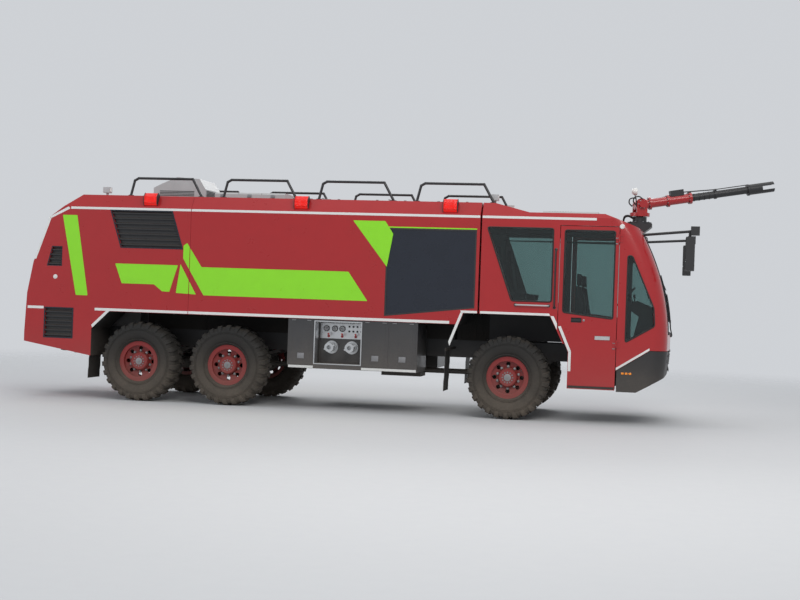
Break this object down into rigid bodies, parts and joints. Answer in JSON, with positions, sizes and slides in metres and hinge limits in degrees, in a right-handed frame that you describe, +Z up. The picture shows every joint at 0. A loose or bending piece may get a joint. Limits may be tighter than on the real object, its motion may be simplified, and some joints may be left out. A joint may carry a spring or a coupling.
{
  "type": "airport fire truck",
  "caption": "Airport crash tender on six large wheels: glazed cab over the steered front axle, long red tank body, roof rails and a roof water monitor.",
  "frame": {"origin": "on the ground below the middle of the whole vehicle, roof monitor included", "axes": "+X towards the nose, +Y to the vehicle's left, +Z up"},
  "size_m": [12.7832, 3.12, 4.1665],
  "materials": {
    "tyre_rubber": "matt black rubber",
    "rim_paint": "satin red paint",
    "chassis_paint": "satin black paint",
    "spring_steel": "dark painted steel",
    "cast_metal": "rough cast",
    "red_paint": "gloss deep red paint",
    "tinted_glass": "tinted clear",
    "seat_fabric": "woven dark grey",
    "cab_plastic": "fine grain",
    "black_plastic": "fine grain",
    "outlet_metal": "machined",
    "lamp_lens": "clear lens",
    "beacon_lens": "red lens",
    "black_metal": "satin black paint",
    "monitor_paint": "satin red paint",
    "sill_paint": "semi-gloss black paint",
    "pale_paint": "satin pale grey paint"
  },
  "bodies": {
    "vehicle": {"frame_rails": "chassis_paint", "cross_members": "chassis_paint", "engine_block": "cast_metal", "driveline": "chassis_paint", "leaf_springs": "spring_steel", "axles": "chassis_paint", "cab_shell": "red_paint", "cab_floor": "chassis_paint", "cab_glazing": "tinted_glass", "cab_seats": "seat_fabric", "dashboard": "cab_plastic", "steering_wheel": "cab_plastic", "front_bumper": "black_plastic", "mirrors": "black_plastic", "tank_body": "red_paint", "rear_body": "red_paint", "lower_lockers": "sill_paint", "hose_outlets": "outlet_metal", "side_louvres": "black_plastic", "lamps": "lamp_lens", "roof_beacons": "beacon_lens", "roof_rails": "black_metal", "roof_fittings": "pale_paint", "monitor_base": "black_metal"},
    "wheel_front_left": {"tyre_front_left": "tyre_rubber", "rim_front_left": "rim_paint"},
    "wheel_front_right": {"tyre_front_right": "tyre_rubber", "rim_front_right": "rim_paint"},
    "wheel_middle_left": {"tyre_middle_left": "tyre_rubber", "rim_middle_left": "rim_paint"},
    "wheel_middle_right": {"tyre_middle_right": "tyre_rubber", "rim_middle_right": "rim_paint"},
    "wheel_rear_left": {"tyre_rear_left": "tyre_rubber", "rim_rear_left": "rim_paint"},
    "wheel_rear_right": {"tyre_rear_right": "tyre_rubber", "rim_rear_right": "rim_paint"},
    "steered_hub_left": {"knuckle_left": "chassis_paint"},
    "cab_door_left": {"door_left": "red_paint", "door_glass_left": "tinted_glass"},
    "steered_hub_right": {"knuckle_right": "chassis_paint"},
    "cab_door_right": {"door_right": "red_paint", "door_glass_right": "tinted_glass"},
    "engine_hatch": {"rear_hatch": "red_paint"},
    "monitor_turret": {"monitor_head": "monitor_paint"},
    "monitor_tube": {"monitor_barrel": "monitor_paint"}
  },
  "joints": [
    {"name": "steer_left", "type": "hinge", "parent": "vehicle", "child": "steered_hub_left", "pos_m": [2.1084, 0.95, 0.685], "axis": [0, 0, 1], "range_deg": [-30, 30]},
    {"name": "steer_right", "type": "hinge", "parent": "vehicle", "child": "steered_hub_right", "pos_m": [2.1084, -0.95, 0.685], "axis": [0, 0, 1], "range_deg": [-30, 30]},
    {"name": "spin_front_left", "type": "hinge", "parent": "steered_hub_left", "child": "wheel_front_left", "pos_m": [2.1084, 1.2, 0.685], "axis": [0, 1, 0], "continuous": true},
    {"name": "spin_front_right", "type": "hinge", "parent": "steered_hub_right", "child": "wheel_front_right", "pos_m": [2.1084, -1.2, 0.685], "axis": [0, 1, 0], "continuous": true},
    {"name": "spin_middle_left", "type": "hinge", "parent": "vehicle", "child": "wheel_middle_left", "pos_m": [-2.6916, 1.2, 0.685], "axis": [0, 1, 0], "continuous": true},
    {"name": "spin_middle_right", "type": "hinge", "parent": "vehicle", "child": "wheel_middle_right", "pos_m": [-2.6916, -1.2, 0.685], "axis": [0, 1, 0], "continuous": true},
    {"name": "spin_rear_left", "type": "hinge", "parent": "vehicle", "child": "wheel_rear_left", "pos_m": [-4.2916, 1.2, 0.685], "axis": [0, 1, 0], "continuous": true},
    {"name": "spin_rear_right", "type": "hinge", "parent": "vehicle", "child": "wheel_rear_right", "pos_m": [-4.2916, -1.2, 0.685], "axis": [0, 1, 0], "continuous": true},
    {"name": "door_left_hinge", "type": "hinge", "parent": "vehicle", "child": "cab_door_left", "pos_m": [3.8534, 1.514, 1.8], "axis": [0, 0, -1], "range_deg": [0, 80]},
    {"name": "door_right_hinge", "type": "hinge", "parent": "vehicle", "child": "cab_door_right", "pos_m": [3.8534, -1.514, 1.8], "axis": [0, 0, 1], "range_deg": [0, 80]},
    {"name": "engine_hatch_hinge", "type": "hinge", "parent": "vehicle", "child": "engine_hatch", "pos_m": [-6.08643, 0, 2.895], "axis": [0, 1, 0], "range_deg": [0, 75]},
    {"name": "monitor_yaw", "type": "hinge", "parent": "vehicle", "child": "monitor_turret", "pos_m": [4.1284, 0, 3.49], "axis": [0, 0, 1], "range_deg": [-120, 60]},
    {"name": "monitor_pitch", "type": "hinge", "parent": "monitor_turret", "child": "monitor_tube", "pos_m": [4.1284, 0, 3.67], "axis": [0.2588, -0.9659, 0], "range_deg": [-15, 50]}
  ],
  "couplings": [
    {"joint": "steer_right", "follows": "steer_left", "ratio": 1}
  ]
}
